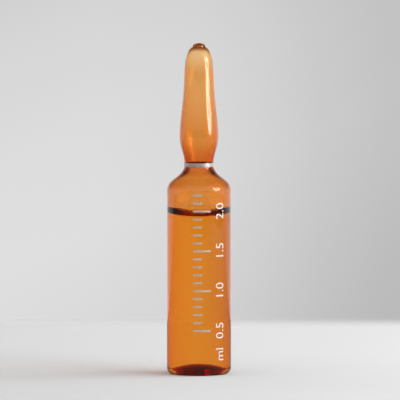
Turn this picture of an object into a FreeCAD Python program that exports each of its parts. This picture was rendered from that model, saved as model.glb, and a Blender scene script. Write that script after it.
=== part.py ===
import FreeCAD, Part
import math
import os
from collections import namedtuple

# Sealed amber glass ampoule with a break ring at its waist and a liquid fill.
#
# The glass is one drawn and flame-sealed piece: a straight tube body on a domed-up base, a
# shoulder drawn in to a waist, a bulb and a tapering stem above it, and a tip closed by a
# small fused drop, which the cavity ends under in a round pocket. The liquid wets the inner
# wall and climbs it in a meniscus. The ring is a band of fired enamel that marks the waist,
# where the stem is snapped off.
#
# Millimetres. The origin is the centre of the base on the plane that the ampoule stands on,
# and +Z is the glass's own axis, towards the tip. Everything is round about that axis, so
# each form is an outline of radius and height, turned once round.

# Heights, one above the other, from the standing plane up.
body_length = 31.15
shoulder_length = 4.15
bulb_rise = 4.7
stem_length = 10.2
dome_length = 4.95
nub_height = 0.62

# Outside diameters at the places where the outline runs along the axis.
body_diameter = 10.75
waist_diameter = 4.9
bulb_diameter = 6.54
stem_diameter = 4.98
nub_diameter = 2.12

# Glass thickness at the same places, and over the push-up of the base.
body_wall = 0.5
waist_wall = 0.8
bulb_wall = 0.5
stem_wall = 0.37
base_wall = 0.4

# How far the outline holds its direction, each way from those places.
body_ease = 1.8
waist_ease_down = 2.1
waist_ease_up = 1.75
bulb_ease_down = 1.8
bulb_ease_up = 3.1
stem_ease_down = 5.0
stem_ease_up = 1.6

# Radius that the stem loses for each millimetre of its height, where the dome starts.
stem_taper = 0.03

# The glass gathers on the shoulder: the inside starts to turn this much lower.
shoulder_gather = 0.2

# Dome of the tip: the slope that it meets the drop with, out and down from the drop, and
# the same inside, where it meets the pocket.
dome_fullness = 1.25
dome_sag = 0.54
inner_stem_ease_up = 2.6
inner_dome_fullness = 1.5
inner_dome_sag = 0.35

# Pocket that the cavity ends in: its foot is this much lower than the drop's.
pocket_radius = 0.6
pocket_height = 0.4
pocket_drop = 0.15

# Base: a heel outside, a flat foot to stand on, and a push-up inside the foot.
heel_radius = 1.05
foot_width = 0.2
foot_lip_radius = 0.2
punt_rise = 1.4
inner_heel_radius = 0.42

# Liquid: the gap from the shoulder down to its level on the axis, its climb at the wall,
# the flat middle of its surface, and the angle and length that it runs up the wall with.
fill_gap = 4.93
meniscus_rise = 2.0
meniscus_flat_radius = 3.3
contact_angle = 22.8
contact_length = 0.9

# Break ring: fired enamel on the outside, set a little below the narrowest place.
ring_height = 0.7
ring_thickness = 0.05
ring_drop = 0.05

# What the outlines are worked out from.
body_radius = body_diameter / 2
bore_radius = body_radius - body_wall
waist_height = body_length + shoulder_length
bulb_height = waist_height + bulb_rise
stem_height = bulb_height + stem_length
nub_base_height = stem_height + dome_length
overall_height = nub_base_height + nub_height
foot_inner_radius = body_radius - heel_radius - foot_width
fill_height = body_length - fill_gap

# A quarter of an ellipse is drawn by a cubic curve with handles of this share.
QUARTER = 0.5523
AXIS = FreeCAD.Vector(0, 0, 1)
CENTRE = FreeCAD.Vector(0, 0, 0)

# A place that the outline is drawn through: its height, outside radius and wall, how much
# lower the inside of it lies, its taper, and how far it holds its direction down and up.
Station = namedtuple("Station", "height radius wall gather taper ease_down ease_up")

STATIONS = [
    Station(body_length, body_radius, body_wall, shoulder_gather, 0, 0, body_ease),
    Station(waist_height, waist_diameter / 2, waist_wall, 0, 0, waist_ease_down, waist_ease_up),
    Station(bulb_height, bulb_diameter / 2, bulb_wall, 0, 0, bulb_ease_down, bulb_ease_up),
    Station(stem_height, stem_diameter / 2, stem_wall, 0, stem_taper, stem_ease_down, stem_ease_up),
]


def at(radius, height):
    """A point of an outline, on the +X side of the axis."""
    return FreeCAD.Vector(radius, 0, height)


def straight(start, end):
    return Part.LineSegment(start, end).toShape()


def curve(*poles):
    """A cubic curve through its first and last points, drawn by its two handles."""
    drawn = Part.BezierCurve()
    drawn.setPoles(list(poles))
    return drawn.toShape()


def arc(centre, radius, start, end):
    """A round stretch about a centre, from one angle to another, in degrees from +X."""
    def on_circle(angle):
        turned = math.radians(angle)
        return centre + at(math.cos(turned), math.sin(turned)) * radius

    return Part.Arc(on_circle(start), on_circle((start + end) / 2), on_circle(end)).toShape()


def start_of(edge):
    return edge.valueAt(edge.FirstParameter)


def end_of(edge):
    return edge.valueAt(edge.LastParameter)


def crown(foot, height):
    """A quarter of an ellipse, from its foot straight up and over to the axis."""
    top = at(0, foot.z + height)
    return curve(foot, foot + AXIS * height * QUARTER, top + at(foot.x * QUARTER, 0), top)


def turned_solid(edges):
    """The solid that a closed outline sweeps in one turn about the axis."""
    face = Part.Face(Part.Wire(Part.sortEdges(edges)[0]))
    return Part.makeSolid(face.revolve(CENTRE, AXIS, 360))


def filled_round(outline):
    """The solid inside an outline whose two ends are closed level to the axis."""
    foot, head = start_of(outline[0]), end_of(outline[-1])
    low, high = at(0, foot.z), at(0, head.z)
    caps = [(foot, low), (low, high), (high, head)]
    return turned_solid(outline + [straight(a, b) for a, b in caps if a.distanceToPoint(b) > 0])


def drawn_wall(inset):
    """The outline from the top of the body to the top of the stem, one curve between each
    two stations. inset says how far inside the glass's surface it passes a station, and
    how much lower."""
    edges = []
    for lower, upper in zip(STATIONS, STATIONS[1:]):
        low_inset, low_drop = inset(lower)
        high_inset, high_drop = inset(upper)
        foot = at(lower.radius - low_inset, lower.height - low_drop)
        head = at(upper.radius - high_inset, upper.height - high_drop)
        leaving = foot + at(-lower.taper, 1) * lower.ease_up
        arriving = head - at(-upper.taper, 1) * upper.ease_down
        edges.append(curve(foot, leaving, arriving, head))
    return edges


def outer_surface(station):
    return 0, 0


def inner_surface(station):
    return station.wall, station.gather


def enamel_surface(station):
    return -ring_thickness, 0


def outer_base():
    """The push-up, its rolled lip, the foot and the heel, from the axis out to the body.
    The push-up's dome runs into the lip without a corner, which fixes the dome's radius."""
    lip_centre = at(foot_inner_radius, foot_lip_radius)
    lip_rise = 2 * foot_lip_radius * punt_rise
    dome_radius = (foot_inner_radius**2 + punt_rise**2 - lip_rise) / (2 * punt_rise)
    dome_centre = at(0, punt_rise - dome_radius)
    meet = math.degrees(math.atan2(lip_centre.z - dome_centre.z, lip_centre.x))
    heel_centre = at(body_radius - heel_radius, heel_radius)
    dome = arc(dome_centre, dome_radius, 90, meet)
    lip = arc(lip_centre, foot_lip_radius, 180 + meet, 270)
    heel = arc(heel_centre, heel_radius, 270, 360)
    foot = straight(end_of(lip), start_of(heel))
    return [dome, lip, foot, heel], dome_centre, dome_radius


def inner_base(dome_centre, dome_radius):
    """The floor of the cavity: a dome over the push-up that rolls up into the wall."""
    floor_radius = dome_radius + base_wall
    roll_reach = bore_radius - inner_heel_radius
    roll_lift = math.sqrt((floor_radius + inner_heel_radius) ** 2 - roll_reach**2)
    roll_centre = at(roll_reach, dome_centre.z + roll_lift)
    meet = math.degrees(math.atan2(roll_lift, roll_reach))
    floor = arc(dome_centre, floor_radius, 90, meet)
    roll = arc(roll_centre, inner_heel_radius, 180 + meet, 360)
    return [floor, roll]


def outer_tip():
    """The end of the stem, domed in to the drop that closed it."""
    stem_top = at(stem_diameter / 2, stem_height)
    nub_foot = at(nub_diameter / 2, nub_base_height)
    leaving = stem_top + at(-stem_taper, 1) * stem_ease_up
    arriving = nub_foot + at(dome_fullness, -dome_sag)
    return [curve(stem_top, leaving, arriving, nub_foot), crown(nub_foot, nub_height)]


def inner_tip():
    """The inside of the dome, and the pocket that closes the cavity under the drop."""
    stem_top = at(stem_diameter / 2 - stem_wall, stem_height)
    pocket_foot = at(pocket_radius, nub_base_height - pocket_drop)
    leaving = stem_top + at(-stem_taper, 1) * inner_stem_ease_up
    arriving = pocket_foot + at(inner_dome_fullness, -inner_dome_sag)
    return [curve(stem_top, leaving, arriving, pocket_foot), crown(pocket_foot, pocket_height)]


def glass_forms():
    """The glass's outside as a filled solid, and its cavity as a solid."""
    forms = []
    base, dome_centre, dome_radius = outer_base()
    floor = inner_base(dome_centre, dome_radius)
    for bottom, surface, tip in (
        (base, outer_surface, outer_tip()),
        (floor, inner_surface, inner_tip()),
    ):
        wall = drawn_wall(surface)
        side = straight(end_of(bottom[-1]), start_of(wall[0]))
        forms.append(filled_round(bottom + [side] + wall + tip))
    return forms


def liquid_in(cavity):
    """The part of the cavity that lies under the meniscus."""
    level = at(0, fill_height)
    contact = at(bore_radius, fill_height + meniscus_rise)
    lean = math.radians(contact_angle)
    climb = at(math.sin(lean), math.cos(lean)) * contact_length
    surface = curve(level, at(meniscus_flat_radius, fill_height), contact - climb, contact)
    rim = straight(contact, at(body_radius, contact.z))
    side = straight(end_of(rim), at(body_radius, overall_height))
    return cavity.cut(filled_round([surface, rim, side]))


def ring_on(envelope):
    """The enamel band: a thin skin over the waist, cut level at its two edges."""
    skin = filled_round(drawn_wall(enamel_surface))
    low_edge = at(0, waist_height - ring_drop - ring_height / 2)
    slab = Part.makeCylinder(body_radius, ring_height, low_edge)
    return skin.common(slab).cut(envelope)


def main():
    envelope, cavity = glass_forms()
    pieces = {
        "ampoule_glass": envelope.cut(cavity),
        "liquid": liquid_in(cavity),
        "break_ring": ring_on(envelope),
    }
    os.makedirs("parts", exist_ok=True)
    for name, shape in pieces.items():
        shape.exportStep(f"parts/{name}.step")
        print(name, "solids", len(shape.Solids), "mm3", round(shape.Volume, 2))


main()
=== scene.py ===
import math
from collections import namedtuple

import bpy
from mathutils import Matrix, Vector


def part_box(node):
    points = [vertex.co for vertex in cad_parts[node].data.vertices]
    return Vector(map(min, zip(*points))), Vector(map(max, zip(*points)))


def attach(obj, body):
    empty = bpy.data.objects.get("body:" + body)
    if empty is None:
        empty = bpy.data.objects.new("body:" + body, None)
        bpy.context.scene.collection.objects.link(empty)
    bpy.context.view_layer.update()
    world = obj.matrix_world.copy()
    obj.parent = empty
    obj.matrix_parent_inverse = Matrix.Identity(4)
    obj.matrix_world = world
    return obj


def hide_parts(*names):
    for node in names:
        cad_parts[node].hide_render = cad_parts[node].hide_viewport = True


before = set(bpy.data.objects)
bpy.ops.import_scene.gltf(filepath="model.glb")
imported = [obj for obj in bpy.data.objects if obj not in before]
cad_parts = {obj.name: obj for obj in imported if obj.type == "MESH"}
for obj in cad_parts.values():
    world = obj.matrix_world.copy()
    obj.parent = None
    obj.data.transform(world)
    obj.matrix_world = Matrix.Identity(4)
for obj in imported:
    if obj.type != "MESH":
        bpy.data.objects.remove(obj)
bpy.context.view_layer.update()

# The looks of a sealed amber ampoule: drawn glass, a liquid fill with its meniscus, a fired
# silver break ring, and a plain printed scale in silver and white. Metres, in the CAD frame:
# the origin is the centre of the base, and +Z is the glass's axis. What is round is an outline
# of radius and height, turned once about that axis. An azimuth is an angle from the front to the right.

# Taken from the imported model.
glass_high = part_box("ampoule_glass")[1]
liquid_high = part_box("liquid")[1]
ring_low, ring_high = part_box("break_ring")
body_radius = glass_high.x
overall_height = glass_high.z
contact_height = liquid_high.z

# Heights of the places that the outline is drawn through.
body_top = 0.03115
waist_height = 0.0353
bulb_height = 0.0400
stem_height = 0.0502
nub_base_height = 0.05515

# Outside radii at those places, and the glass's thickness there.
waist_radius = 0.00245
bulb_radius = 0.00327
stem_radius = 0.00249
nub_radius = 0.00106
body_wall = 0.0005
waist_wall = 0.0008
bulb_wall = 0.0005
stem_wall = 0.00037
base_wall = 0.0004
bore_radius = body_radius - body_wall

# How far the outline holds its direction, each way from those places, the radius that the stem
# loses for each metre of its height, and how much lower the inside of the shoulder lies.
body_ease = 0.0018
waist_ease_down = 0.0021
waist_ease_up = 0.00175
bulb_ease_down = 0.0018
bulb_ease_up = 0.0031
stem_ease_down = 0.0050
stem_ease_up = 0.0016
stem_taper = 0.03
shoulder_gather = 0.0002

# Dome of the tip, outside and in: how far out and down it meets the drop or the pocket.
dome_reach = 0.00125
dome_sag = 0.00054
inner_stem_ease_up = 0.0026
inner_dome_reach = 0.0015
inner_dome_sag = 0.00035
pocket_radius = 0.0006
pocket_height = 0.0004
pocket_drop = 0.00015

# Base: the heel, the flat foot, and the push-up with its rolled lip.
heel_radius = 0.00105
foot_width = 0.0002
foot_lip_radius = 0.0002
punt_rise = 0.0014
inner_heel_radius = 0.00042
foot_inner_radius = body_radius - heel_radius - foot_width

# Liquid: its climb at the wall, how its surface leaves the wall and the axis, the hair's
# breadth that keeps its skin off the glass, and the least that its surface looks up, as a
# normal's share along +Z.
meniscus_rise = 0.00200
fill_height = contact_height - meniscus_rise
meniscus_flat_radius = 0.0033
contact_angle = math.radians(22.8)
contact_length = 0.0009
liquid_clearance = 0.00001
least_upward = 0.05

# Break ring: how far the enamel stands off the waist.
ring_thickness = 0.00005

# How finely the outlines are turned, and the sharpest corner that is shaded smooth.
turn_steps = 160
ring_turn_steps = 96
smooth_corner = math.radians(35)
merge_distance = 0.000001

# Printed scale: a silver tick for each tenth of a millilitre, and a long one and a white number
# for each half. One millilitre fills this much of the bore's height, to a hundredth of a
# millimetre, and the push-up lifts the zero. The unit is printed where this volume would be.
first_tick = 0.5
last_tick = 2.2
tick_step = 0.1
steps_to_long = 5
millilitre = 0.000001
rise_per_ml = round(millilitre / (math.pi * bore_radius**2), 5)
zero_height = 0.00095
unit_volume = 0.2
scale_middle = math.radians(5.2)
number_middle = math.radians(41.5)
long_tick = 0.0031
short_tick = 0.0016
tick_line = 0.00030
tick_rounding = 0.45 * tick_line
number_size = 0.00235
wrap_strips = 8

# The ink's thickness, and how far its underside is sunk in the glass.
ink_thickness = 0.00002
ink_sunk = 0.000002

# Light bends by these ratios: glass to air, liquid to air, glass to liquid, and not at all
# where the liquid's skin lies on the glass, which has bent it already.
glass_to_air = 1.50
liquid_to_air = 1.333
glass_to_liquid = glass_to_air / liquid_to_air
unbent = 1

# Fired grain: how fine its clouds are, in waves to a metre, their share in it, the noise values
# that it is darkest below and lightest above, and how strongly it shows as relief.
cloud_fineness = 900
cloud_share = 0.4
dark_below = 0.35
light_above = 0.65
grain_strength = 0.6

# Smears in the glass and the liquid: how fine they are, in waves to a metre, and the noise
# values that they start and end at.
smear_fineness = 260
clean_below = 0.5
smeared_above = 0.75

# Camera: a long lens in front, looking a little down.
camera_distance = 1.25
camera_pitch = math.radians(3.96)
aim_height = 0.0293
aim_side = 0.00017
frame_width = 0.0673

# Table: where it ends, and the depth over which it fades into the paper behind.
table_back = 0.112
table_front = -0.3
table_width = 2.6
table_fade = 0.022

# The table's greys: by itself, darker with painted shade in a reflection, and paler with painted
# light through the glass, with the painted glow that it has through the glass. Further back the
# camera sees a painted glow on it that grows a little, by metres along Y.
table_pale = 0.90
table_painted_shade_in_gloss = 0.30
table_painted_light_through_glass = 1.0
table_painted_glow_in_glass = 0.15
table_painted_glow_further_back = [(-0.1, 0), (-0.02, 0), (0.04, 0.06), (0.1, 0.085)]

# Paper behind: its place and size.
paper_distance = 1.25
paper_width = 3.2
paper_height = 2.05
paper_middle = 0.225
paper_grey = 0.6

# Painted light and shade on the glowing paper, for the camera: darker to the right and towards
# the top, by metres along X and up, where "up" leans with X.
paper_across = [(-0.1, 0.74), (-0.034, 0.73), (0.0, 0.70), (0.02, 0.655),
                (0.04, 0.60), (0.063, 0.555), (0.1, 0.53)]
paper_up = [(-0.2, 0.8), (-0.13, 0.90), (-0.09, 0.97), (-0.067, 1.0),
            (-0.03, 0.98), (0.01, 0.91), (0.1, 0.65)]
lean_from, lean_to = -0.07, 0.08
lean_low, lean_high = -0.016, 0.05

# Painted light and shade on the glowing paper, in a reflection or through the glass: lighter to
# the right and far darker high up, by metres along X and up.
paper_wide = [(-1.6, 0.77), (-0.3, 0.85), (0.0, 0.93), (0.3, 0.97), (1.6, 1.0)]
paper_high = [(-0.8, 0.5), (-0.2, 1.0), (0.15, 1.0), (0.25, 0.80),
              (0.4, 0.55), (0.6, 0.35), (0.9, 0.2), (1.25, 0.15)]

# Greys of the studio around, by the direction looked in, from -1 to 1 along X, Y or Z.
studio_across = [(-1, 0.77), (0, 0.83), (1, 1.0)]
studio_up = [(-1, 0.5), (-0.1, 1.0), (0.12, 1.0), (0.196, 0.80), (0.305, 0.55),
             (0.43, 0.35), (0.58, 0.20), (0.71, 0.15), (1, 0.10)]
studio_behind = [(-1, 0.095), (-0.45, 0.095), (-0.1, 0.7), (0.1, 0.9), (1, 0.9)]
studio_front = [(-1, 0.095), (0.03, 0.095), (0.12, 0.6), (0.3, 0.8),
                (0.77, 0.8), (0.9, 0.1), (1, 0.1)]
studio_side = [(-1, 0), (-0.45, 0), (-0.1, 0.75), (0.1, 1), (1, 1)]
studio_mirrored = 0.9
studio_fill = 0.50
studio_pale = 0.65

# Ring lamp, close by on the right: its image is the long highlight on the stem.
ring_lamp_azimuth = math.radians(69)
ring_lamp_distance = 0.129
ring_lamp_height = 0.071
ring_lamp_radius = 0.035
ring_lamp_rim = 0.023
ring_lamp_strength = 11

# Side panel, on the right and above: it casts the warm shadow.
panel_azimuth = math.radians(78)
panel_rise = math.radians(29)
panel_distance = 0.3
panel_width = 0.36
panel_height = 0.34
panel_strength = 2.6

# How many times light may turn inside the wall and the liquid before it leaves them.
most_turns = 40
most_reflections = 32
most_refractions = 32


def at(radius, height):
    """A point of an outline, on the +X side of the axis."""
    return Vector((radius, 0, height))


def along_taper(taper, length):
    return at(-taper * length, length)


def toward(azimuth, rise=0):
    """The direction from the axis at this azimuth, and at this angle above the level."""
    level = math.cos(rise)
    return Vector((math.sin(azimuth) * level, -math.cos(azimuth) * level, math.sin(rise)))


# Outlines

class Outline:
    """A profile on the +X side of the axis, drawn stretch by stretch as a Bezier curve."""

    def __init__(self, radius, height):
        start = at(radius, height)
        self.anchors = [[start, start, start]]

    def end(self):
        return self.anchors[-1][1]

    def curve(self, leaving, arriving, end):
        self.anchors[-1][2] = leaving
        self.anchors.append([arriving, end, end])

    def straight(self, radius, height):
        start, end = self.end(), at(radius, height)
        self.curve(start.lerp(end, 1 / 3), start.lerp(end, 2 / 3), end)

    def arc(self, centre, radius, first, last):
        """A round stretch from one angle to another, in radians from +X, up to a quarter."""
        def spoke(angle):
            return at(math.cos(angle), math.sin(angle)) * radius

        def tangent(angle):
            return at(-math.sin(angle), math.cos(angle)) * radius

        reach = 4 / 3 * math.tan((last - first) / 4)
        begin, end = centre + spoke(first), centre + spoke(last)
        self.curve(begin + tangent(first) * reach, end - tangent(last) * reach, end)

    def crown(self, height):
        """A quarter of an ellipse, straight up from here and over to the axis."""
        foot = self.end()
        top = at(0, foot.z + height)
        reach = 4 / 3 * math.tan(math.pi / 8)
        self.curve(foot + at(0, height * reach), top + at(foot.x * reach, 0), top)


# A place that the wall is drawn through, its taper, and how far it holds its direction.
Station = namedtuple("Station", "place taper ease_down ease_up")


def stations(inset):
    """The wall's stations, at a share inset of its thickness from the outside."""
    body = at(body_radius - inset * body_wall, body_top - inset * shoulder_gather)
    waist = at(waist_radius - inset * waist_wall, waist_height)
    bulb = at(bulb_radius - inset * bulb_wall, bulb_height)
    stem = at(stem_radius - inset * stem_wall, stem_height)
    return [
        Station(body, 0, 0, body_ease),
        Station(waist, 0, waist_ease_down, waist_ease_up),
        Station(bulb, 0, bulb_ease_down, bulb_ease_up),
        Station(stem, stem_taper, stem_ease_down, stem_ease_up),
    ]


def add_drawn_wall(outline, inset):
    """The shoulder, the waist, the bulb and the stem, one curve between each two stations."""
    places = stations(inset)
    for lower, upper in zip(places, places[1:]):
        leaving = lower.place + along_taper(lower.taper, lower.ease_up)
        arriving = upper.place - along_taper(upper.taper, upper.ease_down)
        outline.curve(leaving, arriving, upper.place)


def add_tip(outline, ease_up, foot, reach, sag, height):
    """The dome that closes the stem in to the drop's or the pocket's foot, and its crown."""
    leaving = outline.end() + along_taper(stem_taper, ease_up)
    outline.curve(leaving, foot + at(reach, -sag), foot)
    outline.crown(height)


def punt_dome():
    """Centre and radius of the push-up's dome, which runs into its lip without a corner."""
    lip_rise = 2 * foot_lip_radius * punt_rise
    radius = (foot_inner_radius**2 + punt_rise**2 - lip_rise) / (2 * punt_rise)
    return at(0, punt_rise - radius), radius


def outer_outline():
    """The outside of the glass, from the push-up out over the foot and up to the drop."""
    centre, radius = punt_dome()
    lip_centre = at(foot_inner_radius, foot_lip_radius)
    meet = math.atan2(lip_centre.z - centre.z, lip_centre.x)
    heel_centre = at(body_radius - heel_radius, heel_radius)
    outline = Outline(0, punt_rise)
    outline.arc(centre, radius, math.pi / 2, meet)
    outline.arc(lip_centre, foot_lip_radius, math.pi + meet, math.pi * 3 / 2)
    outline.straight(heel_centre.x, 0)
    outline.arc(heel_centre, heel_radius, -math.pi / 2, 0)
    outline.straight(body_radius, body_top)
    add_drawn_wall(outline, 0)
    nub_foot = at(nub_radius, nub_base_height)
    add_tip(outline, stem_ease_up, nub_foot, dome_reach, dome_sag, overall_height - nub_base_height)
    return outline


def floor_outline(clearance):
    """The cavity's floor and its roll up into the wall, a clearance inside the glass."""
    centre, radius = punt_dome()
    floor_radius = radius + base_wall
    roll_reach = bore_radius - inner_heel_radius
    roll_lift = math.sqrt((floor_radius + inner_heel_radius) ** 2 - roll_reach**2)
    roll_centre = at(roll_reach, centre.z + roll_lift)
    meet = math.atan2(roll_lift, roll_reach)
    outline = Outline(0, centre.z + floor_radius + clearance)
    outline.arc(centre, floor_radius + clearance, math.pi / 2, meet)
    outline.arc(roll_centre, inner_heel_radius - clearance, -math.pi + meet, 0)
    return outline


def inner_outline():
    """The cavity, from its floor to the closed top under the drop, with a place at the
    liquid's edge, where the wall stops being wet."""
    outline = floor_outline(0)
    outline.straight(bore_radius, contact_height)
    outline.straight(bore_radius, body_top - shoulder_gather)
    add_drawn_wall(outline, 1)
    pocket_foot = at(pocket_radius, nub_base_height - pocket_drop)
    add_tip(outline, inner_stem_ease_up, pocket_foot, inner_dome_reach, inner_dome_sag, pocket_height)
    return outline


def liquid_outline():
    """The liquid's skin: the floor, the wall up to its edge, and the meniscus."""
    outline = floor_outline(liquid_clearance)
    contact = at(bore_radius - liquid_clearance, contact_height)
    outline.straight(contact.x, contact.z)
    climb = at(math.sin(contact_angle), math.cos(contact_angle)) * contact_length
    outline.curve(contact - climb, at(meniscus_flat_radius, fill_height), at(0, fill_height))
    return outline


def ring_outline():
    """The enamel band's section, its two outer edges eased and its back sunk in the glass."""
    inner = waist_radius - ring_thickness
    eased = waist_radius + ring_thickness / 2
    outer = waist_radius + ring_thickness
    outline = Outline(inner, ring_low.z)
    outline.straight(eased, ring_low.z)
    outline.straight(outer, ring_low.z + ring_thickness)
    outline.straight(outer, ring_high.z - ring_thickness)
    outline.straight(eased, ring_high.z)
    outline.straight(inner, ring_high.z)
    outline.straight(inner, ring_low.z)
    return outline


# Forms

def pick(*pieces):
    """Selects these pieces and no others, the first of them active."""
    bpy.ops.object.select_all(action="DESELECT")
    for piece in pieces:
        piece.select_set(True)
    bpy.context.view_layer.objects.active = pieces[0]


def joined(name, pieces):
    pick(*pieces)
    bpy.ops.object.join()
    pieces[0].name = name
    return pieces[0]


def turned(name, outline, detail, steps=turn_steps, inside=False):
    """The shell that an outline sweeps in one turn about the axis, its normals outwards, or
    inwards for the wall of a cavity. detail is how many pieces a stretch is drawn in."""
    bpy.ops.object.select_all(action="DESELECT")
    bpy.ops.curve.primitive_bezier_curve_add(enter_editmode=False, location=(0, 0, 0))
    drawn = bpy.context.object
    drawn.name = name
    spline = drawn.data.splines[0]
    spline.bezier_points.add(len(outline.anchors) - len(spline.bezier_points))
    for point, (arriving, place, leaving) in zip(spline.bezier_points, outline.anchors):
        point.handle_left_type = point.handle_right_type = "FREE"
        point.handle_left, point.co, point.handle_right = arriving, place, leaving
    drawn.data.resolution_u = detail
    spline.resolution_u = detail
    bpy.ops.object.convert(target="MESH")
    shell = bpy.context.object
    bpy.ops.object.mode_set(mode="EDIT")
    bpy.ops.mesh.select_all(action="SELECT")
    bpy.ops.mesh.spin(steps=steps, angle=math.tau, center=(0, 0, 0), axis=(0, 0, 1))
    bpy.ops.mesh.select_all(action="SELECT")
    bpy.ops.mesh.remove_doubles(threshold=merge_distance)
    bpy.ops.mesh.normals_make_consistent(inside=inside)
    bpy.ops.object.mode_set(mode="OBJECT")
    bpy.ops.object.shade_smooth_by_angle(angle=smooth_corner)
    return shell


def mark_wetted(shell, is_wet):
    """Marks the faces that glass and liquid share, so that light bends there as it should."""
    wetted = shell.data.attributes.new("wetted", "FLOAT", "FACE")
    for face in shell.data.polygons:
        wetted.data[face.index].value = 1 if is_wet(face) else 0


def stage_sheet(name, width, depth, middle, upright=False):
    """A flat sheet for the stage, lying level or stood up to face the front."""
    bpy.ops.object.select_all(action="DESELECT")
    bpy.ops.mesh.primitive_plane_add(size=1, location=(0, 0, 0))
    sheet = bpy.context.object
    sheet.name = name
    bpy.ops.object.mode_set(mode="EDIT")
    bpy.ops.transform.resize(value=(width, depth, 1))
    if upright:
        bpy.ops.transform.rotate(value=math.pi / 2, orient_axis="X", center_override=(0, 0, 0))
    bpy.ops.transform.translate(value=middle)
    bpy.ops.object.mode_set(mode="OBJECT")
    return sheet


# Wiring of materials

class Wiring:
    """The nodes of one material, group or world, made and linked in a few words. What is given
    to an input is another node's output, or a plain value that is set on the input itself."""

    def __init__(self, tree):
        self.nodes = tree.nodes
        self.links = tree.links

    def feed(self, socket, value):
        if isinstance(value, bpy.types.NodeSocket):
            self.links.new(value, socket)
        else:
            socket.default_value = value

    def fill_in(self, node, given):
        """Feeds a node's inputs, which are given by their names."""
        for name, value in given.items():
            self.feed(node.inputs[name], value)
        return node

    def add(self, kind, given=None):
        return self.fill_in(self.nodes.new(f"ShaderNode{kind}"), given or {})

    def place(self, kind="Object"):
        return self.add("TexCoord").outputs[kind]

    def parts(self, kind="Object"):
        """X, Y and Z of the place on the object, or of the direction that Generated is in the
        world."""
        return self.add("SeparateXYZ", {"Vector": self.place(kind)}).outputs

    def noise(self, place, fineness, detail, roughness=0.5):
        node = self.add("TexNoise", {"Vector": place, "Scale": fineness})
        return self.fill_in(node, {"Detail": detail, "Roughness": roughness}).outputs["Fac"]

    def combine(self, operation, first, second):
        node = self.add("Math")
        node.operation = operation
        self.feed(node.inputs[0], first)
        self.feed(node.inputs[1], second)
        return node.outputs["Value"]

    def times(self, first, second):
        return self.combine("MULTIPLY", first, second)

    def spread(self, value, low, high, start=0, end=1, way="LINEAR"):
        """A value between low and high carried over to between start and end."""
        node = self.add("MapRange", {"Value": value, "From Min": low, "From Max": high})
        node.interpolation_type = way
        return self.fill_in(node, {"To Min": start, "To Max": end}).outputs["Result"]

    def blend(self, share, first, second, kind="FLOAT"):
        """The first value where the share is 0, the second where it is 1."""
        node = self.add("Mix")
        node.data_type = kind
        return self.fill_in(node, {"Factor": share, "A": first, "B": second}).outputs["Result"]

    def ramp(self, value, stops):
        """The grey that the stops, pairs of a place and its grey, give for a value."""
        low, high = stops[0][0], stops[-1][0]
        node = self.add("ValToRGB", {"Fac": self.spread(value, low, high)})
        while len(node.color_ramp.elements) < len(stops):
            node.color_ramp.elements.new(0.5)
        for element, (place, level) in zip(node.color_ramp.elements, stops):
            element.position = (place - low) / (high - low)
            element.color = grey(level)
        return node.outputs["Color"]

    def layer(self, share, first, second):
        """The first shader where the share is 0, the second where it is 1."""
        node = self.add("MixShader", {"Fac": share})
        self.feed(node.inputs[1], first.outputs[0])
        self.feed(node.inputs[2], second.outputs[0])
        return node

    def surface(self, given):
        """The surface shader that a new material comes with, its inputs fed."""
        return self.fill_in(self.nodes["Principled BSDF"], given)

    def show(self, shader, way="Surface"):
        """Makes a shader the material's surface, or its volume."""
        self.feed(self.nodes["Material Output"].inputs[way], shader.outputs[0])


def seen_directly(wiring, ray):
    """1 for rays that look at a surface: from the camera, in a reflection or through glass."""
    either = wiring.combine("MAXIMUM", ray["Is Camera Ray"], ray["Is Glossy Ray"])
    return wiring.combine("MAXIMUM", either, ray["Is Transmission Ray"])


def shade(red, green, blue):
    return (red, green, blue, 1)


def grey(level):
    return shade(level, level, level)


def new_material(name):
    made = bpy.data.materials.new(name)
    made.use_nodes = True
    return made, Wiring(made.node_tree)


def new_group(name, takes):
    """An empty node group that takes these inputs and puts out a finish: colour, roughness
    and height."""
    group = bpy.data.node_groups.new(name, "ShaderNodeTree")
    for socket, kind in takes.items():
        group.interface.new_socket(socket, in_out="INPUT", socket_type=f"NodeSocket{kind}")
    for socket, kind in {"Color": "Color", "Roughness": "Float", "Height": "Float"}.items():
        group.interface.new_socket(socket, in_out="OUTPUT", socket_type=f"NodeSocket{kind}")
    return group, Wiring(group), group.nodes.new("NodeGroupInput").outputs


def put_out(group, wiring, finish):
    wiring.fill_in(group.nodes.new("NodeGroupOutput"), finish)
    return group


def fired_grain():
    """A speckled, slightly patchy fired surface, for the enamel and the two inks: fine grains
    over slow clouds."""
    group, wiring, taken = new_group("fired_grain", {
        "Grain": "Float", "Light": "Color", "Dark": "Color", "Smooth": "Float", "Rough": "Float"})
    place = wiring.place()
    grains = wiring.noise(place, taken["Grain"], detail=3, roughness=0.65)
    clouds = wiring.noise(place, cloud_fineness, detail=2)
    speckle = wiring.spread(wiring.blend(cloud_share, grains, clouds), dark_below, light_above)
    return put_out(group, wiring, {
        "Color": wiring.blend(speckle, taken["Dark"], taken["Light"], "RGBA"),
        "Roughness": wiring.spread(speckle, 0, 1, taken["Rough"], taken["Smooth"]),
        "Height": grains})


def clear_streaks():
    """Faint streaks and smears in something clear, for the glass and the liquid."""
    group, wiring, taken = new_group("clear_streaks", {
        "Fineness": "Float", "Stretch": "Vector", "Tinted": "Color", "Pale": "Color",
        "Smeared": "Float"})
    place = wiring.place()
    stretched = wiring.add("Mapping", {"Vector": place, "Scale": taken["Stretch"]}).outputs["Vector"]
    streaks = wiring.noise(stretched, taken["Fineness"], detail=2)
    smears = wiring.noise(place, smear_fineness, detail=4)
    return put_out(group, wiring, {
        "Color": wiring.blend(streaks, taken["Tinted"], taken["Pale"], "RGBA"),
        "Roughness": wiring.spread(smears, clean_below, smeared_above, 0, taken["Smeared"]),
        "Height": streaks})


fired_grain_group = fired_grain()
clear_streaks_group = clear_streaks()


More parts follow.
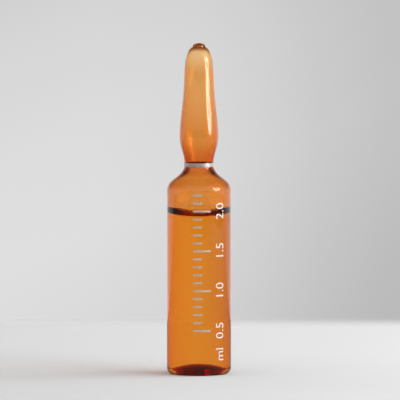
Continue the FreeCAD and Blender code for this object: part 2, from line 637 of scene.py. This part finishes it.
def finished(name, group, relief_depth, relief_strength, values):
    """A material whose colour, roughness and relief come from a group given these values."""
    made, wiring = new_material(name)
    finish = wiring.add("Group")
    finish.node_tree = group
    wiring.fill_in(finish, values)
    relief = wiring.add("Bump", {"Distance": relief_depth, "Strength": relief_strength,
                                 "Height": finish.outputs["Height"]})
    wiring.surface({"Base Color": finish.outputs["Color"],
                    "Roughness": finish.outputs["Roughness"],
                    "Normal": relief.outputs["Normal"]})
    return made, wiring


def grained(name, metallic, relief_depth, values):
    """A fired or printed material, speckled with the fired grain."""
    made, wiring = finished(name, fired_grain_group, relief_depth, grain_strength, values)
    wiring.surface({"Metallic": metallic})
    return made


def clear(name, dry_bend, wet_bend, tint, density, relief_depth, values):
    """A clear material with faint streaks, which soaks up light by its tint as it goes
    through. Where it is wetted, light bends by another ratio."""
    made, wiring = finished(name, clear_streaks_group, relief_depth, 1, values)
    wetted = wiring.add("Attribute")
    wetted.attribute_name = "wetted"
    wiring.surface({"Transmission Weight": 1, "IOR": dry_bend})
    wiring.surface({"IOR": wiring.spread(wetted.outputs["Fac"], 0, 1, dry_bend, wet_bend)})
    wiring.show(wiring.add("VolumeAbsorption", {"Color": tint, "Density": density}), "Volume")
    return made


def silver_enamel():
    return grained("silver_enamel", metallic=0.6, relief_depth=0.000004, values={
        "Grain": 9000, "Smooth": 0.28, "Rough": 0.5,
        "Light": shade(0.76, 0.66, 0.61), "Dark": shade(0.48, 0.37, 0.32)})


def silver_ink():
    return grained("silver_ink", metallic=0.4, relief_depth=0.000003, values={
        "Grain": 12000, "Smooth": 0.35, "Rough": 0.6,
        "Light": shade(0.78, 0.73, 0.68), "Dark": shade(0.55, 0.50, 0.45)})


def white_ink():
    return grained("white_ink", metallic=0, relief_depth=0.000003, values={
        "Grain": 10000, "Smooth": 0.35, "Rough": 0.6,
        "Light": shade(0.84, 0.79, 0.74), "Dark": shade(0.72, 0.67, 0.62)})


def amber_glass():
    """One material for the whole ampoule, so that its tint is one body of glass. Its streaks
    are drawn out along the axis."""
    return clear("amber_glass", glass_to_air, glass_to_liquid, tint=shade(0.917, 0.577, 0),
                 density=3000, relief_depth=0.000001, values={
                     "Fineness": 700, "Stretch": (1, 1, 0.03), "Smeared": 0.03,
                     "Tinted": shade(0.975, 0.965, 0.95), "Pale": grey(1)})


def clear_liquid():
    """A clear fill with a light yellow tint."""
    return clear("clear_liquid", liquid_to_air, unbent, tint=shade(1, 0.91, 0),
                 density=125, relief_depth=0.0000002, values={
                     "Fineness": 260, "Stretch": (1, 1, 1), "Smeared": 0.004,
                     "Tinted": shade(0.985, 0.98, 0.97), "Pale": grey(1)})


# Glass, liquid and ring

def build_glass():
    outer = turned("ampoule_outer", outer_outline(), detail=16)
    inner = turned("ampoule_inner", inner_outline(), detail=16, inside=True)
    mark_wetted(inner, lambda face: face.center.z < contact_height)
    glass = joined("amber_ampoule", [outer, inner])
    glass.data.materials.append(amber_glass())
    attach(glass, "root")
    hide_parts("ampoule_glass")


def build_liquid():
    """The liquid. All its skin is wetted but the meniscus, which is high up and looks up."""
    liquid = turned("liquid_fill", liquid_outline(), detail=24)
    liquid.data.materials.append(clear_liquid())
    just_under = fill_height - 10 * liquid_clearance
    mark_wetted(liquid, lambda face: face.normal.z <= least_upward or face.center.z <= just_under)
    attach(liquid, "root")
    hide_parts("liquid")


def build_ring():
    ring = turned("silver_break_ring", ring_outline(), detail=6, steps=ring_turn_steps)
    ring.data.materials.append(silver_enamel())
    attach(ring, "root")
    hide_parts("break_ring")


# Printed scale

def apply_place(piece):
    pick(piece)
    bpy.ops.object.transform_apply(location=True, rotation=True, scale=True)


def cut_in_strips(flat_print):
    """Cuts a flat print from top to bottom, so that it can be wrapped."""
    across = [vertex.co.x for vertex in flat_print.data.vertices]
    width = max(across) - min(across)
    pick(flat_print)
    bpy.ops.object.mode_set(mode="EDIT")
    for cut in range(1, wrap_strips):
        bpy.ops.mesh.select_all(action="SELECT")
        cut_place = ((cut / wrap_strips - 0.5) * width, 0, 0)
        bpy.ops.mesh.bisect(plane_co=cut_place, plane_no=(1, 0, 0))
    bpy.ops.object.mode_set(mode="OBJECT")


def laid_on_body(flat_print, azimuth, height, ink):
    """Stands a flat print, drawn in the XY plane, upright at an azimuth, wraps it round the
    body and gives the ink its thickness."""
    cut_in_strips(flat_print)
    flat_print.rotation_euler = (math.pi / 2, 0, azimuth)
    flat_print.location = toward(azimuth) * body_radius + at(0, height)
    apply_place(flat_print)
    wrap = flat_print.modifiers.new("wrap", "CAST")
    wrap.cast_type = "CYLINDER"
    wrap.use_radius_as_size = False
    wrap.size = body_radius - ink_sunk
    wrap.radius = 0
    wrap.factor = 1
    bpy.ops.object.modifier_apply(modifier=wrap.name)
    thicken = flat_print.modifiers.new("thicken", "SOLIDIFY")
    thicken.thickness = ink_thickness
    thicken.offset = 1
    bpy.ops.object.modifier_apply(modifier=thicken.name)
    flat_print.data.materials.clear()
    flat_print.data.materials.append(ink)
    return flat_print


def tick(length, ink):
    """A printed line across the axis, its ends rounded, at the foot of the body."""
    bpy.ops.object.select_all(action="DESELECT")
    bpy.ops.mesh.primitive_plane_add(size=1, location=(0, 0, 0))
    line = bpy.context.object
    bpy.ops.object.mode_set(mode="EDIT")
    bpy.ops.transform.resize(value=(length, tick_line, 1))
    bpy.ops.mesh.bevel(offset=tick_rounding, segments=4, affect="VERTICES")
    bpy.ops.object.mode_set(mode="OBJECT")
    scale_left = scale_middle - long_tick / body_radius / 2
    return laid_on_body(line, scale_left + length / body_radius / 2, 0, ink)


def copied_up(line, height):
    """A copy of a tick at a height, with its own mesh."""
    pick(line)
    bpy.ops.object.duplicate()
    copy = bpy.context.object
    copy.location = at(0, height)
    apply_place(copy)
    return copy


def number(text, volume, ink):
    """Printed figures that read upwards along the body, at a volume's height."""
    bpy.ops.object.select_all(action="DESELECT")
    bpy.ops.object.text_add(location=(0, 0, 0))
    figures = bpy.context.object
    figures.data.body = text
    figures.data.size = number_size
    figures.data.align_x = "CENTER"
    figures.data.align_y = "CENTER"
    figures.data.resolution_u = 6
    bpy.ops.object.convert(target="MESH")
    figures = bpy.context.object
    figures.rotation_euler = (0, 0, math.pi / 2)
    apply_place(figures)
    return laid_on_body(figures, number_middle, height_of(volume), ink)


def height_of(volume):
    """How high a volume in millilitres stands in the body."""
    return zero_height + volume * rise_per_ml


def build_scale():
    silver, white = silver_ink(), white_ink()
    long_line, short_line = tick(long_tick, silver), tick(short_tick, silver)
    ticks, numbers = [], [number("ml", unit_volume, white)]
    for step in range(round((last_tick - first_tick) / tick_step) + 1):
        volume = first_tick + step * tick_step
        is_long = step % steps_to_long == 0
        ticks.append(copied_up(long_line if is_long else short_line, height_of(volume)))
        if is_long:
            numbers.append(number(f"{volume:.1f}", volume, white))
    for line in (long_line, short_line):
        bpy.data.objects.remove(line)
    silver_scale = joined("scale_ticks", ticks)
    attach(silver_scale, "root")
    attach(joined("scale_numbers", numbers), "root")


# Camera, stage and light

def build_camera():
    bpy.ops.object.camera_add()
    camera = bpy.context.object
    camera.location = Vector((aim_side, 0, aim_height)) + toward(0, camera_pitch) * camera_distance
    camera.rotation_euler = (math.pi / 2 - camera_pitch, 0, 0)
    camera.data.lens = camera.data.sensor_width * camera_distance / frame_width
    camera.data.clip_start = 0.1
    camera.data.clip_end = 10
    bpy.context.scene.camera = camera


def table_paint():
    """Matt paint with painted shade where it is seen in a reflection and painted light where it is
    seen through the glass, a painted glow for the camera that grows further back, and a fade at
    the table's far edge."""
    made, wiring = new_material("table_paint")
    ray = wiring.add("LightPath").outputs
    depth = wiring.parts()["Y"]
    # Painted shade: the table is darker where it is seen in a reflection.
    plain = wiring.blend(ray["Is Glossy Ray"], table_pale, table_painted_shade_in_gloss)
    # Painted light: a glow for the camera that grows further back, and through the glass a paler colour
    # and a glow.
    for_camera = wiring.times(ray["Is Camera Ray"], wiring.ramp(depth, table_painted_glow_further_back))
    for_glass = wiring.times(ray["Is Transmission Ray"], table_painted_glow_in_glass)
    paint = wiring.surface({
        "Base Color": wiring.blend(ray["Is Transmission Ray"], plain, table_painted_light_through_glass),
        "Roughness": 0.9,
        "Specular IOR Level": 0.1,
        "Emission Color": grey(1),
        "Emission Strength": wiring.combine("ADD", for_camera, for_glass)})
    fade = wiring.spread(depth, table_back - table_fade, table_back, way="SMOOTHSTEP")
    wiring.show(wiring.layer(fade, paint, wiring.add("BsdfTransparent")))
    return made


def build_table():
    table = stage_sheet("table", table_width, table_back - table_front,
                        (0, (table_back + table_front) / 2, 0))
    table.data.materials.append(table_paint())


def backdrop_paper():
    """Paper that glows where it is looked at, with painted light and shade across and up it, and
    otherwise is plain grey.
    """
    made, wiring = new_material("backdrop_paper")
    ray = wiring.add("LightPath").outputs
    parts = wiring.parts()
    lean = wiring.spread(parts["X"], lean_from, lean_to, lean_low, lean_high)
    leaning_up = wiring.combine("SUBTRACT", parts["Z"], lean)
    # Painted light and shade: the glow is darker or lighter across the paper and up it.
    for_camera = wiring.times(wiring.ramp(parts["X"], paper_across), wiring.ramp(leaning_up, paper_up))
    for_glass = wiring.times(wiring.ramp(parts["X"], paper_wide), wiring.ramp(parts["Z"], paper_high))
    looked_at = wiring.blend(ray["Is Camera Ray"], for_glass, for_camera)
    glow = wiring.add("Emission", {"Color": looked_at})
    paper = wiring.surface({"Base Color": grey(paper_grey)})
    wiring.show(wiring.layer(seen_directly(wiring, ray), paper, glow))
    return made


def build_backdrop():
    backdrop = stage_sheet("backdrop", paper_width, paper_height,
                           (0, paper_distance, paper_middle), upright=True)
    backdrop.data.materials.append(backdrop_paper())


def studio_in_glass(wiring, ray):
    """What is seen of the studio by way of the glass. Through it, the studio is pale behind
    and dim in front. Mirrored in it, only what lies low in front is dim. Overhead, both are."""
    parts = wiring.parts("Generated")
    up = wiring.ramp(parts["Z"], studio_up)
    through = wiring.times(up, wiring.ramp(parts["Y"], studio_behind))
    mirrored = wiring.blend(wiring.ramp(parts["Y"], studio_side),
                            wiring.ramp(parts["Z"], studio_front),
                            wiring.times(up, studio_mirrored))
    only_mirrored = wiring.combine("SUBTRACT", ray["Is Glossy Ray"], ray["Is Transmission Ray"])
    around = wiring.blend(only_mirrored, through, mirrored)
    return wiring.times(wiring.ramp(parts["X"], studio_across), around)


def build_world():
    """An even fill for what the world lights, a pale grey for the camera, and for the glass
    the studio."""
    world = bpy.data.worlds.new("studio")
    world.use_nodes = True
    bpy.context.scene.world = world
    wiring = Wiring(world.node_tree)
    ray = wiring.add("LightPath").outputs
    fill = wiring.fill_in(wiring.nodes["Background"], {"Color": grey(studio_fill)})
    seen = wiring.add("Background", {"Color": studio_in_glass(wiring, ray)})
    pale = wiring.add("Background", {"Color": grey(studio_pale)})
    for_glass = wiring.layer(seen_directly(wiring, ray), fill, seen)
    for_all = wiring.layer(ray["Is Camera Ray"], for_glass, pale)
    wiring.fill_in(wiring.nodes["World Output"], {"Surface": for_all.outputs[0]})


def lamp_light():
    made, wiring = new_material("lamp_light")
    wiring.show(wiring.add("Emission", {"Strength": ring_lamp_strength}))
    return made


def build_ring_lamp():
    """A glowing flat ring that faces the axis. Gloss and glass show it, and it lights
    nothing matt."""
    way = toward(ring_lamp_azimuth)
    bpy.ops.object.select_all(action="DESELECT")
    bpy.ops.mesh.primitive_circle_add(vertices=64, radius=ring_lamp_radius, fill_type="NGON")
    lamp = bpy.context.object
    lamp.name = "ring_lamp"
    bpy.ops.object.mode_set(mode="EDIT")
    bpy.ops.mesh.inset(thickness=ring_lamp_rim)
    bpy.ops.mesh.delete(type="FACE")
    bpy.ops.object.mode_set(mode="OBJECT")
    lamp.rotation_euler = way.to_track_quat("Z", "Y").to_euler()
    lamp.location = way * ring_lamp_distance + at(0, ring_lamp_height)
    lamp.data.materials.append(lamp_light())
    lamp.visible_camera = False
    lamp.visible_diffuse = False


def build_side_panel():
    """A rectangular lamp that faces the origin."""
    way = toward(panel_azimuth, panel_rise)
    bpy.ops.object.light_add(type="AREA", location=way * panel_distance)
    panel = bpy.context.object
    panel.name = "side_panel"
    panel.data.shape = "RECTANGLE"
    panel.data.size = panel_width
    panel.data.size_y = panel_height
    panel.data.energy = panel_strength * math.pi * panel_width * panel_height
    panel.rotation_euler = way.to_track_quat("Z", "Y").to_euler()
    panel.visible_camera = False
    panel.visible_glossy = False


def let_light_run():
    """Light runs on inside the wall and the liquid by many reflections before it leaves."""
    tracing = bpy.context.scene.cycles
    tracing.max_bounces = most_turns
    tracing.glossy_bounces = most_reflections
    tracing.transmission_bounces = most_refractions


build_glass()
build_liquid()
build_ring()
build_scale()
build_camera()
build_table()
build_backdrop()
build_world()
build_ring_lamp()
build_side_panel()
let_light_run()
bpy.context.scene.view_settings.view_transform = "Standard"
